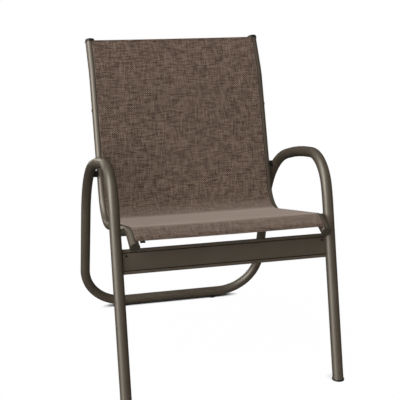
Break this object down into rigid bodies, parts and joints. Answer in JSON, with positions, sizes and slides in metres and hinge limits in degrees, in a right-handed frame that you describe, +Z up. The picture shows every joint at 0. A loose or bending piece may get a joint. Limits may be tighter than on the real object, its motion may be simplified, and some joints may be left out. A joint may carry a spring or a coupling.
{
  "type": "sling patio chair",
  "caption": "Patio armchair with bent tube arm loops, grooved side rails holding a stretched fabric sling, and a front apron.",
  "frame": {"origin": "centre of the bounding box at floor level", "axes": "+Z up, the chair faces -Y, +X towards its side on the right when seen from the front"},
  "size_m": [0.5974, 0.7109, 0.8488],
  "materials": {
    "frame_metal": "dark bronze satin powder coat",
    "black_plastic": "moulded black nylon, fine grain",
    "brown_plastic": "moulded dark brown nylon, fine grain",
    "sling": "brown tweed open weave of coated polyester yarn",
    "bare_aluminium": "mill finish",
    "fastener_steel": "zinc plated"
  },
  "bodies": {
    "root": {"back_spreader_bar": "frame_metal", "floor_rail_sleeve": "bare_aluminium", "front_apron": "frame_metal", "hem_tag": "black_plastic", "left_apron_end_block": "bare_aluminium", "left_apron_screw": "black_plastic", "left_arm_loop_tube": "frame_metal", "left_back_bar_screw": "frame_metal", "left_front_bolt": "fastener_steel", "left_front_foot": "black_plastic", "left_front_rivet_nut": "fastener_steel", "left_front_spacer": "brown_plastic", "left_rail_front_cap": "brown_plastic", "left_rail_top_cap": "black_plastic", "left_rear_bolt": "fastener_steel", "left_rear_glide": "black_plastic", "left_rear_rivet_nut": "fastener_steel", "left_rear_spacer": "black_plastic", "left_seat_bar_screw": "frame_metal", "left_sling_rail": "frame_metal", "left_spline_rod": "black_plastic", "right_apron_end_block": "bare_aluminium", "right_apron_screw": "black_plastic", "right_arm_loop_tube": "frame_metal", "right_back_bar_screw": "frame_metal", "right_front_bolt": "fastener_steel", "right_front_foot": "black_plastic", "right_front_rivet_nut": "fastener_steel", "right_front_spacer": "brown_plastic", "right_rail_front_cap": "brown_plastic", "right_rail_top_cap": "black_plastic", "right_rear_bolt": "fastener_steel", "right_rear_glide": "black_plastic", "right_rear_rivet_nut": "fastener_steel", "right_rear_spacer": "black_plastic", "right_seat_bar_screw": "frame_metal", "right_sling_rail": "frame_metal", "right_spline_rod": "black_plastic", "seat_spreader_bar": "frame_metal", "sling_fabric": "sling"}
  },
  "joints": []
}
